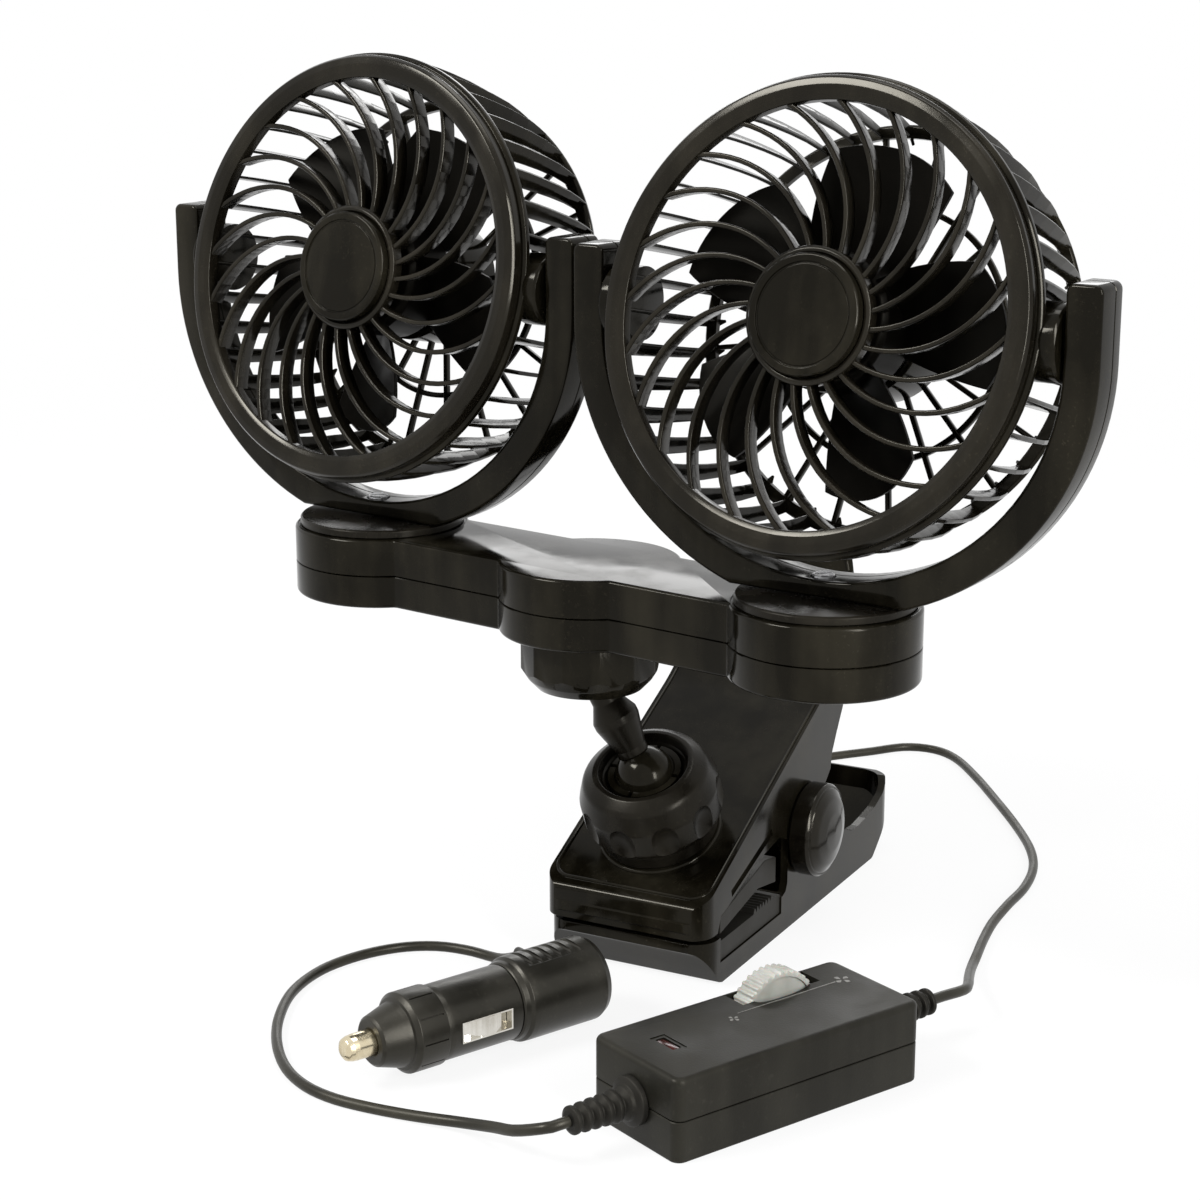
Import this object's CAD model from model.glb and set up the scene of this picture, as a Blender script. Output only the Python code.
import bpy
import bmesh
import math
from mathutils import Matrix, Vector


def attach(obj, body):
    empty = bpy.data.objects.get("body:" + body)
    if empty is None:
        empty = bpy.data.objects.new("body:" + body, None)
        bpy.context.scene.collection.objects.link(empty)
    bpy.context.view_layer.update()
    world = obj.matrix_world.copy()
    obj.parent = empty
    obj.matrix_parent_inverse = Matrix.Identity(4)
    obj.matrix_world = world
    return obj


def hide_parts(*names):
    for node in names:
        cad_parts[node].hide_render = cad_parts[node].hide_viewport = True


# Twin fan on a spring clamp, with its speed control and vehicle plug.
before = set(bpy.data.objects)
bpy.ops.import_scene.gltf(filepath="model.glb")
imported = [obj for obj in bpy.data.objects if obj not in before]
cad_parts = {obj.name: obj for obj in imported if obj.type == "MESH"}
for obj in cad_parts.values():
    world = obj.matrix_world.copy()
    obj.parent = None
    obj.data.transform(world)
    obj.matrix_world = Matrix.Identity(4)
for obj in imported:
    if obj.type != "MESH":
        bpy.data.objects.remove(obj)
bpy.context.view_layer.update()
mm = 0.001
tiny = 0.002  # corners closer than this are one corner
slack = 0.01  # how far a corner may be off the level that it is on
overrun = 5  # how far a cutter goes beyond what it cuts
print("frame loaded")


# Places

def moved(x, y, z):
    return Matrix.Translation((x, y, z))


def spun(axis, degrees):
    return Matrix.Rotation(math.radians(degrees), 4, axis)


def framed(origin, *sides):
    return Matrix.Translation(origin) @ Matrix(sides).transposed().to_4x4()


def aimed(origin, across, ahead):
    ahead = Vector(ahead).normalized()
    across = Vector(across)
    across = (across - ahead * across.dot(ahead)).normalized()
    return framed(origin, across, ahead.cross(across), ahead)


layout = {
    "clampBack": 56, "barAxis": (-14.2, -59.66), "barYaw": -9.54, "lobeSpacing": 78.8, "barTop": 122.93,
    "tiltHeight": 74.9, "faceAhead": 14.6, "pan": {"left": 1.09, "right": 3.9},
    "tilt": {"left": 11.89, "right": 13.55}, "upperBall": 90.73, "lowerBall": (0, -52.16, 58.2),
    "rampAngle": 26.5, "controlCorner": (65.0, -163.1), "controlHeading": 64.56,
    "plugTip": (-30.7, -166.9, 12), "plugHeading": 65.5, "pivot": (0, 4, 29),
}
sideSign = {"left": -1, "right": 1}
world = Matrix.Identity(4)
up = Vector((0, 0, 1))
clampPlace = moved(0, -layout["clampBack"], 0)
clampSide = clampPlace @ Matrix(((0, 0, 1, 0), (1, 0, 0, 0), (0, 1, 0, 0), (0, 0, 0, 1)))
barPlace = moved(*layout["barAxis"], 0) @ spun("Z", layout["barYaw"])
upright = spun("X", 90)
upperSocket = barPlace @ moved(0, 0, layout["upperBall"]) @ spun("X", 180)
lowerSocket = Matrix.Translation(layout["lowerBall"]) @ spun("X", layout["rampAngle"])
pivotAxle = moved(*layout["pivot"]) @ spun("Y", 90)
controlPlace = moved(*layout["controlCorner"], 0) @ spun("Z", layout["controlHeading"])
plugAim = math.radians(layout["plugHeading"])
plugPlace = aimed(layout["plugTip"], (0, 0, 1), (math.cos(plugAim), math.sin(plugAim), 0))


def yokePlace(side):
    lobe = moved(sideSign[side] * layout["lobeSpacing"], 0, layout["barTop"])
    return barPlace @ lobe @ spun("Z", layout["pan"][side])


def headPlace(side):
    return yokePlace(side) @ moved(0, 0, layout["tiltHeight"]) @ spun("X", -layout["tilt"][side])


def facePlace(side):
    return headPlace(side) @ moved(0, -layout["faceAhead"], 0) @ spun("X", -90)


# Outlines: a corner is (x, y), or (x, y, radius) where it is rounded

def arcPoints(centre, radius, start, end, steps):
    points = []
    for i in range(steps + 1):
        angle = math.radians(start + (end - start) * i / steps)
        points.append((centre[0] + radius * math.cos(angle), centre[1] + radius * math.sin(angle)))
    return points


def rounded(corners, steps=5):
    points = []
    count = len(corners)
    for i, corner in enumerate(corners):
        here = Vector(corner[:2])
        if len(corner) < 3 or corner[2] == 0:
            points.append(tuple(here))
            continue
        back = Vector(corners[i - 1][:2]) - here
        ahead = Vector(corners[(i + 1) % count][:2]) - here
        half = back.angle(ahead) / 2
        if half > math.radians(89):
            points.append(tuple(here))
            continue
        cut = min(corner[2] / math.tan(half), 0.49 * back.length, 0.49 * ahead.length)
        radius = cut * math.tan(half)
        middle = here + (back.normalized() + ahead.normalized()).normalized() * radius / math.sin(half)
        first = here + back.normalized() * cut - middle
        last = here + ahead.normalized() * cut - middle
        swing = math.atan2(first.x * last.y - first.y * last.x, first.dot(last))
        for k in range(steps + 1):
            points.append(tuple(middle + Matrix.Rotation(swing * k / steps, 2) @ first))
    return points


def withoutDoubles(points):
    kept = []
    for point in points:
        if not kept or math.dist(point, kept[-1]) > tiny:
            kept.append(point)
    while math.dist(kept[0], kept[-1]) <= tiny:
        kept.pop()
    return kept


def boxCorners(x0, y0, x1, y1, *radii):
    radii = radii if len(radii) == 4 else radii * 4
    return [(x0, y0, radii[0]), (x1, y0, radii[1]), (x1, y1, radii[2]), (x0, y1, radii[3])]


# Shapes

def slab(outline, low, high):
    shape = bmesh.new()
    rim = [shape.verts.new((x, y, low)) for x, y in withoutDoubles(outline)]
    grown = bmesh.ops.extrude_face_region(shape, geom=[shape.faces.new(rim)])
    raised = [item for item in grown["geom"] if isinstance(item, bmesh.types.BMVert)]
    bmesh.ops.translate(shape, verts=raised, vec=(0, 0, high - low))
    bmesh.ops.recalc_face_normals(shape, faces=shape.faces)
    return shape


def lathe(profile, steps):
    shape = bmesh.new()
    rim = [shape.verts.new((radius, 0, height)) for radius, height in withoutDoubles(profile)]
    edges = []
    for first, second in zip(rim, rim[1:] + rim[:1]):
        if max(first.co.x, second.co.x) > tiny:
            edges.append(shape.edges.new((first, second)))
    bmesh.ops.spin(shape, geom=rim + edges, cent=(0, 0, 0), axis=(0, 0, 1), angle=2 * math.pi, steps=steps,
                   use_merge=True, use_duplicate=False)
    bmesh.ops.remove_doubles(shape, verts=shape.verts, dist=tiny)
    bmesh.ops.recalc_face_normals(shape, faces=shape.faces)
    return shape


def turned(profile, sides, arc=4):
    return lathe(rounded(profile, arc), sides)


def rod(radius, low, high, sides):
    return lathe([(0, low), (radius, low), (radius, high), (0, high)], sides)


def globe(radius, sides, rows, stretch=(1, 1, 1)):
    shape = bmesh.new()
    bmesh.ops.create_uvsphere(shape, u_segments=sides, v_segments=rows, radius=radius)
    bmesh.ops.scale(shape, verts=shape.verts, vec=stretch)
    return shape


def brick(low, high):
    shape = bmesh.new()
    bmesh.ops.create_cube(shape, size=1)
    bmesh.ops.scale(shape, verts=shape.verts, vec=[b - a for a, b in zip(low, high)])
    bmesh.ops.translate(shape, verts=shape.verts, vec=[(a + b) / 2 for a, b in zip(low, high)])
    return shape


def sweep(section, stations):
    shape = bmesh.new()
    corners = [shape.verts.new(stations[0] @ Vector((x, y, 0))) for x, y in withoutDoubles(section)]
    face = shape.faces.new(corners)
    for before, after in zip(stations, stations[1:]):
        grown = bmesh.ops.extrude_face_region(shape, geom=[face])
        face = next(item for item in grown["geom"] if isinstance(item, bmesh.types.BMFace))
        bmesh.ops.transform(shape, matrix=after @ before.inverted(), verts=list(face.verts))
    bmesh.ops.recalc_face_normals(shape, faces=shape.faces)
    return shape


def headings(points):
    # the direction of a path at each of its points
    last = len(points) - 1
    return [Vector(points[min(i + 1, last)]) - Vector(points[max(i - 1, 0)]) for i in range(last + 1)]


def along(points, across):
    return [aimed(point, across, ahead) for point, ahead in zip(points, headings(points))]


def added(shape, other, place=world):
    other.transform(place)
    carrier = bpy.data.meshes.new("carrier")
    other.to_mesh(carrier)
    other.free()
    shape.from_mesh(carrier)
    bpy.data.meshes.remove(carrier)
    return shape


def roundEdges(shape, test, width, steps=3):
    edges = [edge for edge in shape.edges if all(test(corner.co) for corner in edge.verts)]
    bmesh.ops.bevel(shape, geom=edges, offset=width, offset_type="OFFSET", affect="EDGES", segments=steps,
                    profile=0.5, material=-1, clamp_overlap=True)
    return shape


def housingHalf(plan, seam, outer, edge, seamEdge, steps):
    # rounded at its outer level, with a small bevel at its seam
    shape = slab(plan, min(seam, outer), max(seam, outer))
    roundEdges(shape, atLevel(outer), edge, steps)
    return roundEdges(shape, atLevel(seam), seamEdge, 1)


def atLevel(level):
    return lambda corner: abs(corner.z - level) < slack


def asObject(name, shape):
    mesh = bpy.data.meshes.new(name)
    shape.to_mesh(mesh)
    shape.free()
    made = bpy.data.objects.new(name, mesh)
    bpy.context.scene.collection.objects.link(made)
    return made


def carved(shape, tool, place=world, operation="DIFFERENCE"):
    tool.transform(place)
    made = asObject("work", shape)
    cutter = asObject("tool", tool)
    step = made.modifiers.new("carve", "BOOLEAN")
    step.operation = operation
    step.solver = "EXACT"
    step.object = cutter
    bpy.context.view_layer.update()
    ready = made.evaluated_get(bpy.context.evaluated_depsgraph_get())
    result = bmesh.new()
    result.from_mesh(ready.data)
    for item in (made, cutter):
        mesh = item.data
        bpy.data.objects.remove(item, do_unlink=True)
        bpy.data.meshes.remove(mesh)
    bmesh.ops.remove_doubles(result, verts=result.verts, dist=tiny)
    bmesh.ops.dissolve_degenerate(result, edges=result.edges, dist=tiny)
    return result


def joined(shape, other, place=world):
    return carved(shape, other, place, "UNION")


def finish(name, shape, place, body, look, covers=None, crease=32, edge=0):
    if place.determinant() < 0:
        bmesh.ops.reverse_faces(shape, faces=shape.faces)
    shape.transform(Matrix.Scale(mm, 4) @ place)
    made = asObject(name, shape)
    made.data.polygons.foreach_set("use_smooth", [True] * len(made.data.polygons))
    made.data.set_sharp_from_angle(angle=math.radians(crease))
    if edge:
        soft = made.modifiers.new("soft edges", "BEVEL")
        soft.width = edge * mm
        soft.segments = 2
        soft.limit_method = "ANGLE"
        soft.angle_limit = math.radians(crease)
        soft.harden_normals = True
    made.data.materials.append(looks[look])
    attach(made, body)
    if covers:
        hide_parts(covers)


def dress(node, look):
    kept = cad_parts[node]
    kept.data.materials.clear()
    kept.data.materials.append(looks[look])


# Finishes

class Field:
    # one shader output, so that a sum or product with it adds a Math node
    def __init__(self, look, socket):
        self.look = look
        self.socket = socket

    def step(self, operation, *values):
        return self.look.node("ShaderNodeMath", {"operation": operation}, dict(enumerate(values)))

    def __add__(self, other):
        return self.step("ADD", self, other)

    def __mul__(self, other):
        return self.step("MULTIPLY", self, other)

    def between(self, low, high):
        inputs = {"Value": self, "From Min": low, "From Max": high}
        return self.look.node("ShaderNodeMapRange", {"clamp": True}, inputs)

    __radd__ = __add__
    __rmul__ = __mul__


class Look:
    # a material or a world, and the nodes in it
    def __init__(self, owner):
        owner.use_nodes = True
        self.owner = owner
        self.tree = owner.node_tree
        self.surface = self.tree.nodes.get("Principled BSDF")
        self.place = self.node("ShaderNodeTexCoord", output="Object") if self.surface else None

    def node(self, kind, settings=None, inputs=None, output=0):
        made = self.tree.nodes.new(kind)
        for name, value in (settings or {}).items():
            setattr(made, name, value)
        for name, value in (inputs or {}).items():
            self.feed(made.inputs[name], value)
        return Field(self, made.outputs[output])

    def feed(self, socket, value):
        if isinstance(value, Field):
            self.tree.links.new(value.socket, socket)
        else:
            socket.default_value = value

    def noise(self, scale, detail, rough, place=None):
        inputs = {"Vector": place or self.place, "Scale": scale, "Detail": detail, "Roughness": rough}
        return self.node("ShaderNodeTexNoise", {"noise_dimensions": "3D"}, inputs)

    def stretched(self, factors):
        inputs = {"Vector": self.place, "Scale": factors}
        return self.node("ShaderNodeMapping", {"vector_type": "POINT"}, inputs)

    def blend(self, factor, first, second):
        mixed = self.node("ShaderNodeMix", {"data_type": "RGBA"}, {0: factor}, output=2)
        for index, colour in ((6, first), (7, second)):
            value = colour if isinstance(colour, Field) else (*colour, 1)
            self.feed(mixed.socket.node.inputs[index], value)
        return mixed

    def bump(self, height, strength, distance, under=None):
        inputs = {"Height": height, "Strength": strength, "Distance": distance}
        if under:
            inputs["Normal"] = under
        return self.node("ShaderNodeBump", None, inputs)

    def finished(self):
        return Field(self, self.surface.outputs[0])

    def show(self, **values):
        for name, value in values.items():
            self.feed(self.surface.inputs[name.replace("_", " ")], value)
        return self.owner


def newLook(name):
    return Look(bpy.data.materials.new(name))


plastics = {
    "gloss_black": {"colour": (0.0028, 0.0023, 0.0013), "worn": (0.0130, 0.0113, 0.0074), "rough": 0.15,
                    "smudge": 0.14, "grain": 2600, "depth": 0.05, "ripple": 0.10, "specular": 0.13},
    "satin_black": {"colour": (0.0034, 0.0028, 0.0020), "worn": (0.0125, 0.0108, 0.0078), "rough": 0.29,
                    "smudge": 0.14, "grain": 2300, "depth": 0.2, "ripple": 0.05, "specular": 0.14},
    "rib_black": {"colour": (0.0040, 0.0033, 0.0022), "worn": (0.0120, 0.0102, 0.0070), "rough": 0.17,
                  "smudge": 0.12, "grain": 2500, "depth": 0.08, "ripple": 0.04, "specular": 0.20},
    "blade_black": {"colour": (0.0020, 0.0018, 0.0014), "worn": (0.0042, 0.0036, 0.0028), "rough": 0.34,
                    "smudge": 0.12, "grain": 2300, "depth": 0.15, "ripple": 0.03, "specular": 0.06},
    "grained_black": {"colour": (0.0072, 0.0068, 0.0052), "worn": (0.0165, 0.0156, 0.0122), "rough": 0.42,
                      "smudge": 0.14, "grain": 1500, "depth": 0.5, "ripple": 0.02, "specular": 0.18},
    "plug_black": {"colour": (0.0085, 0.0080, 0.0064), "worn": (0.0170, 0.0158, 0.0125), "rough": 0.33,
                   "smudge": 0.14, "grain": 1500, "depth": 0.5, "ripple": 0.03, "specular": 0.32},
    "rubber_black": {"colour": (0.0060, 0.0056, 0.0048), "worn": (0.0120, 0.0112, 0.0096), "rough": 0.52,
                     "smudge": 0.12, "grain": 1900, "depth": 0.35, "ripple": 0.02, "specular": 0.2},
    "cord_sheath": {"colour": (0.0120, 0.0112, 0.0084), "worn": (0.0220, 0.0205, 0.0150), "rough": 0.38,
                    "smudge": 0.14, "grain": 2100, "depth": 0.2, "ripple": 0.03, "specular": 0.3},
}
wear = {
    "cloud": (38, 4, 0.55), "streak": (26, 3, 0.55), "streakStretch": (2.6, 2.6, 0.3), "streakShare": 0.6,
    "handled": (0.44, 0.64), "speckShare": 0.4, "speck": (0.60, 0.74), "dustCloud": (0.42, 0.7),
    "dust": 0.35, "dustPale": 3.2, "dustRough": 0.1, "smudgeShare": 0.4, "ripple": (23, 1, 0.4),
    "rippleHeight": 0.002, "grainHeight": 0.00006, "tint": (1.0, 0.95, 0.82, 1.0),
}
metals = {
    "steel": {"colour": (0.50, 0.50, 0.51), "worn": (0.36, 0.36, 0.37), "rough": 0.26, "smudge": 0.18,
              "scratch": 900},
    "nickel": {"colour": (0.68, 0.66, 0.61), "worn": (0.52, 0.49, 0.43), "rough": 0.16, "smudge": 0.14,
               "scratch": 1400},
    "brass": {"colour": (0.74, 0.66, 0.48), "worn": (0.56, 0.47, 0.31), "rough": 0.2, "smudge": 0.18,
              "scratch": 1200},
}
tarnish = {"cloud": (120, 4, 0.6), "stretch": (1.0, 1.0, 0.06), "lineShare": 0.3, "range": (0.40, 0.68),
           "smudgeShare": 0.3, "bump": (0.12, 0.00004)}
cloudy = {
    "milky_plastic": {"cloud": (90, 3, 0.5), "range": (0.38, 0.66), "colour": (0.50, 0.50, 0.46),
                      "worn": (0.36, 0.36, 0.32), "rough": (0.28, 0.2), "grain": (1800, 2, 0.5),
                      "bump": (0.15, 0.00005),
                      "other": {"Subsurface_Weight": 0.25, "Subsurface_Scale": 0.002}},
    "fuse_glass": {"cloud": (400, 2, 0.5), "range": (0.4, 0.6), "colour": (0.78, 0.80, 0.78),
                   "worn": (0.62, 0.64, 0.62), "rough": (0.08, 0.1), "bump": (0.05, 0.00004),
                   "other": {"Metallic": 0.2}},
    "indicator_red": {"cloud": (700, 2, 0.5), "range": (0.4, 0.65), "colour": (0.055, 0.010, 0.008),
                      "worn": (0.022, 0.006, 0.005), "rough": (0.12, 0.14), "bump": (0.08, 0.00005)},
    "printed_mark": {"cloud": (2600, 3, 0.6), "range": (0.45, 0.7), "colour": (0.20, 0.195, 0.18),
                     "worn": (0.09, 0.088, 0.08), "rough": (0.35, 0.2), "bump": (0.2, 0.00003)},
}
board = {
    "tracks": {"Scale": 160.0, "Mortar Size": 0.06}, "trackOffset": 0.4, "cloud": (200, 3, 0.5),
    "colour": (0.018, 0.10, 0.042), "track": (0.05, 0.22, 0.10), "stain": (0.012, 0.06, 0.03),
    "stainRange": (0.5, 0.75), "stainShare": 0.5, "rough": (0.3, 0.2), "bump": (0.2, 0.00004),
}


def plastic(name):
    values = plastics[name]
    look = newLook(name)
    cloud = look.noise(*wear["cloud"])
    streak = look.noise(*wear["streak"], look.stretched(wear["streakStretch"]))
    speck = look.noise(values["grain"] * wear["speckShare"], 2, 0.6)
    grain = look.noise(values["grain"], 3, 0.6)
    touched = cloud * (1 - wear["streakShare"]) + streak * wear["streakShare"]
    handled = touched.between(*wear["handled"])
    dusty = speck.between(*wear["speck"]) * cloud.between(*wear["dustCloud"])
    colour = look.blend(handled, values["colour"], values["worn"])
    dust = tuple(wear["dustPale"] * part for part in values["worn"])
    colour = look.blend(dusty * wear["dust"], colour, dust)
    smoothest = values["rough"] - wear["smudgeShare"] * values["smudge"]
    rough = handled * values["smudge"] + dusty * wear["dustRough"] + smoothest
    ripple = look.bump(look.noise(*wear["ripple"]), values["ripple"], wear["rippleHeight"])
    normal = look.bump(grain, values["depth"], wear["grainHeight"], ripple)
    return look.show(Base_Color=colour, Roughness=rough, Specular_IOR_Level=values["specular"],
                     Specular_Tint=wear["tint"], Normal=normal)


def metal(name):
    values = metals[name]
    look = newLook(name)
    cloud = look.noise(*tarnish["cloud"])
    lines = look.noise(values["scratch"], 2, 0.5, look.stretched(tarnish["stretch"]))
    spread = cloud * (1 - tarnish["lineShare"]) + lines * tarnish["lineShare"]
    dull = spread.between(*tarnish["range"])
    smoothest = values["rough"] - tarnish["smudgeShare"] * values["smudge"]
    return look.show(Base_Color=look.blend(dull, values["colour"], values["worn"]), Metallic=1.0,
                     Roughness=dull * values["smudge"] + smoothest,
                     Normal=look.bump(lines, *tarnish["bump"]))


def cloudyLook(name):
    values = cloudy[name]
    look = newLook(name)
    cloud = look.noise(*values["cloud"])
    colour = look.blend(cloud.between(*values["range"]), values["colour"], values["worn"])
    smoothest, spread = values["rough"]
    grain = look.noise(*values["grain"]) if "grain" in values else cloud
    return look.show(Base_Color=colour, Roughness=cloud * spread + smoothest,
                     Normal=look.bump(grain, *values["bump"]), **values.get("other", {}))


def boardGreen():
    look = newLook("circuit_board")
    tracks = look.node("ShaderNodeTexBrick", {"offset": board["trackOffset"]},
                       {"Vector": look.place, **board["tracks"]}, output=1)
    cloud = look.noise(*board["cloud"])
    colour = look.blend(tracks.between(0.0, 1.0), board["colour"], board["track"])
    stained = cloud.between(*board["stainRange"]) * board["stainShare"]
    smoothest, spread = board["rough"]
    return look.show(Base_Color=look.blend(stained, colour, board["stain"]),
                     Roughness=cloud * spread + smoothest, Normal=look.bump(tracks, *board["bump"]))


looks = {name: plastic(name) for name in plastics}
looks.update({name: metal(name) for name in metals})
looks.update({name: cloudyLook(name) for name in cloudy})
looks["circuit_board"] = boardGreen()
print("finishes ready:", len(looks))


# Camera, light and floor

studio = {
    "camera": (0.3185, -0.6841, 0.2987), "heading": 27.82, "down": 14.87, "lens": 77.23, "sensor": 36,
    "nearest": 0.01, "roomLight": 0.4, "floorSize": 6.0, "floorWhite": 0.88, "floorFade": (0.45, 1.1),
    "paper": (12, 3, 0.5), "paperRange": (0.3, 0.7), "paperTones": (0.93, 0.90), "paperRough": 0.9,
    "paperSheen": 0.1, "lampAim": (0, -0.05, 0.14),
    "lamps": {"key": ((-0.75, -0.95, 1.15), (0.6, 0.35), 20), "fill": ((1.25, -0.7, 0.75), (0.22, 1.2), 20),
              "top": ((0.05, 0.15, 1.35), (0.8, 0.3), 4), "rear": ((-0.5, 1.2, 0.7), (0.9, 0.3), 3)},
}


def makeCamera():
    data = bpy.data.cameras.new("view")
    data.lens = studio["lens"]
    data.sensor_width = studio["sensor"]
    data.clip_start = studio["nearest"]
    made = bpy.data.objects.new("view", data)
    made.location = studio["camera"]
    made.rotation_euler = (math.radians(90 - studio["down"]), 0, math.radians(studio["heading"]))
    bpy.context.scene.collection.objects.link(made)
    bpy.context.scene.camera = made


def seenDirectly(look):
    outputs = look.node("ShaderNodeLightPath").socket.node.outputs
    kinds = ("Is Camera Ray", "Is Glossy Ray", "Is Transmission Ray")
    camera, gloss, through = (Field(look, outputs[kind]) for kind in kinds)
    return (camera + gloss + through).between(0.0, 1.0)


def makeRoom():
    room = Look(bpy.data.worlds.new("room"))
    bpy.context.scene.world = room.owner
    back = room.tree.nodes["Background"]
    back.inputs["Color"].default_value = (1, 1, 1, 1)
    room.feed(back.inputs["Strength"], seenDirectly(room) * (1 - studio["roomLight"]) + studio["roomLight"])


def makeFloor():
    shape = bmesh.new()
    bmesh.ops.create_grid(shape, x_segments=1, y_segments=1, size=studio["floorSize"] / 2)
    floor = asObject("floor", shape)
    look = newLook("pale_floor")
    paper = look.noise(*studio["paper"]).between(*studio["paperRange"])
    colour = look.blend(paper, *([tone] * 3 for tone in studio["paperTones"]))
    look.show(Base_Color=colour, Roughness=studio["paperRough"], Specular_IOR_Level=studio["paperSheen"])
    glow = look.node("ShaderNodeEmission", None, {"Color": (1, 1, 1, 1), "Strength": 1.0})
    away = look.node("ShaderNodeVectorMath", {"operation": "LENGTH"}, {0: look.place}, output="Value")
    white = away.between(*studio["floorFade"]) * (1 - studio["floorWhite"]) + studio["floorWhite"]
    mixed = {0: seenDirectly(look) * white, 1: look.finished(), 2: glow}
    whole = look.node("ShaderNodeMixShader", None, mixed)
    look.feed(look.tree.nodes["Material Output"].inputs["Surface"], whole)
    floor.data.materials.append(look.owner)


def makeLamps():
    for name, (spot, size, power) in studio["lamps"].items():
        data = bpy.data.lights.new(name, "AREA")
        data.shape = "RECTANGLE"
        data.size, data.size_y = size
        data.energy = power
        made = bpy.data.objects.new(name, data)
        aim = Vector(studio["lampAim"]) - Vector(spot)
        made.matrix_world = Matrix.Translation(spot) @ aim.to_track_quat("-Z", "Y").to_matrix().to_4x4()
        bpy.context.scene.collection.objects.link(made)


makeCamera()
makeRoom()
makeFloor()
makeLamps()
bpy.context.scene.view_settings.view_transform = "Standard"
print("camera, room and lamps set")


# Cords

cords = {"radius": 1.5, "roundness": 6, "spacing": 3.0, "fineSteps": 24, "leave": 5, "gap": 0.3,
         "fanLength": 0.453, "plugLength": 0.256}
fanRoute = [
    (-46, 26.5, 10.2), (-51.5, 31.5, 7.4), (-54.5, 40, 4.2), (-55, 52, 2.0), (-54, 68, 1.5), (-51, 88, 1.5),
    (-46, 110, 1.5), (-38, 131, 1.5), (-24.5, 148.5, 1.5), (-14.5, 160, 1.5), (-5, 171, 1.5), (5.9, 173, 1.5),
    (16.5, 166.7, 1.5), (29.8, 150.7, 1.5), (44.5, 130.2, 1.5), (59.1, 108.8, 1.5), (70.9, 89, 1.5),
    (77.6, 72, 1.5), (80.6, 54.5, 1.5), (80.8, 38, 1.5), (81.6, 22, 1.5), (83.6, 8, 1.5), (86.4, -6, 1.9),
    (89.4, -19, 3.4), (93, -31, 6.0), (96.6, -42, 8.6), (98.2, -50, 10.4)]
plugRoute = [
    (-24.6, -84.6, 9.6), (-30.5, -78.6, 5.4), (-38.2, -73.4, 1.9), (-49, -71.6, 1.5), (-59.2, -73.2, 1.5),
    (-68.4, -79.4, 1.5), (-75.6, -90.4, 1.5), (-79.4, -104.6, 1.5), (-77.9, -121.2, 1.5), (-71, -138, 1.5),
    (-62, -152, 1.5), (-51.4, -163.4, 1.5), (-41, -170.2, 1.5), (-30.4, -173.3, 1.5), (-19, -173.6, 1.5),
    (-5.5, -172.6, 1.7), (8.5, -172.2, 2.9), (19.5, -174.6, 5.2), (28, -178.2, 7.8)]
control = {"length": 82.15, "width": 35.34, "height": 22.76, "parting": 11.2, "wall": 1.8, "corner": 3.0,
           "topRound": 1.7, "bottomRound": 0.7, "gap": 0.3, "wheelAt": (56, 15.6), "wheelRadius": 12.8,
           "wheelBand": (26.4, 33.0), "wheelRoom": 0.6, "slotMargin": 0.45, "windowAt": (12.4, 19.3),
           "windowSize": (2.2, 6.8), "windowRoom": 0.3, "border": (0.9, 1.1, 0.25), "seamEdge": 0.22,
           "dish": (9.6, 4.6, 1.5), "dishLift": 0.15, "holeRoom": 0.3, "smallest": 0.6}
relief = {"length": 20, "neck": 3.0, "flange": 6.6, "tip": 3.6, "ribs": 5, "ribsFrom": 4.2, "swell": 0.7,
          "foldDeep": 1.25, "fold": (0.15, 0.38, 0.5, 0.85), "foldRound": 0.4}
boot = {"station": 75.5, "radius": 3.2, "flange": 4.6, "length": 8,
        "folds": [(0, 2.2), (0.7, 3.4), (0.1, 4.2), (0.8, 5.2), (0.3, 6.2)]}
plug = {"grip": 12.0, "bootGap": 0.3}
grommet = {"exit": (24, 12), "length": 6.5, "radius": 2.6, "flange": 4.2}
clamp = {"width": 52.7}
clampHalf = clamp["width"] / 2
cordMiddle = moved(0, control["width"] / 2, control["parting"])
fanSide = controlPlace @ moved(control["length"], 0, 0) @ cordMiddle @ spun("Y", 90)
plugSide = controlPlace @ cordMiddle @ spun("Y", -90)
grommetPlace = moved(0, *grommet["exit"]) @ spun("Y", -90)
bootPlace = plugPlace @ moved(0, 0, boot["station"]) @ spun("X", 90)


def smoothLine(route, spacing):
    # even steps on a smooth line through the route, whose two outermost points are joined on straight
    ends = [Vector(point) for point in route]
    fine = []
    for a, b, c, d in zip(ends, ends[1:], ends[2:], ends[3:]):
        for i in range(cords["fineSteps"]):
            t = i / cords["fineSteps"]
            fine.append((2 * b + (c - a) * t + (2 * a - 5 * b + 4 * c - d) * t ** 2
                         + (3 * b - a - 3 * c + d) * t ** 3) / 2)
    fine.append(ends[-2])
    travelled = [0.0]
    for a, b in zip(fine, fine[1:]):
        travelled.append(travelled[-1] + (b - a).length)
    count = round(travelled[-1] / spacing)
    picked = []
    here = 0
    for i in range(count + 1):
        want = travelled[-1] * i / count
        while here < len(travelled) - 2 and travelled[here + 1] < want:
            here += 1
        share = (want - travelled[here]) / (travelled[here + 1] - travelled[here])
        picked.append(fine[here].lerp(fine[here + 1], share))
    return [ends[0]] + picked + [ends[-1]]


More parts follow.
